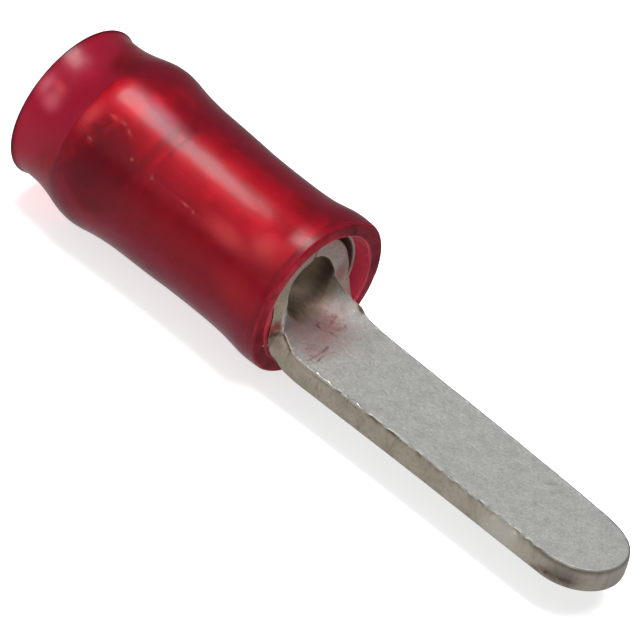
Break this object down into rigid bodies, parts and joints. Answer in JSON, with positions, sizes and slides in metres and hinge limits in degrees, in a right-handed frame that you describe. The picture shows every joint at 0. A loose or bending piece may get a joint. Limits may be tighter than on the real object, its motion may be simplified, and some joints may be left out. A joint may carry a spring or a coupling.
{
  "type": "insulated blade terminal",
  "caption": "Crimp blade terminal: a flat round-ended tinned blade rolled into a wire barrel, a thin metal support sleeve, and a clear red insulation sleeve with a bulge and a flared entry.",
  "frame": {"origin": "on the wire barrel's axis, at the middle of its length", "axes": "+X along the terminal towards the tip of the blade, +Z square to the flat of the blade on the side where the barrel's seam is, +Y to complete a right-handed frame"},
  "size_m": [0.023, 0.0056, 0.0055],
  "materials": {
    "red_nylon": "gloss",
    "tinned_sleeve": "satin",
    "tinned_copper": "satin"
  },
  "bodies": {
    "root": {"insulation_sleeve": "red_nylon", "support_sleeve": "tinned_sleeve", "blade_terminal": "tinned_copper"}
  },
  "joints": []
}
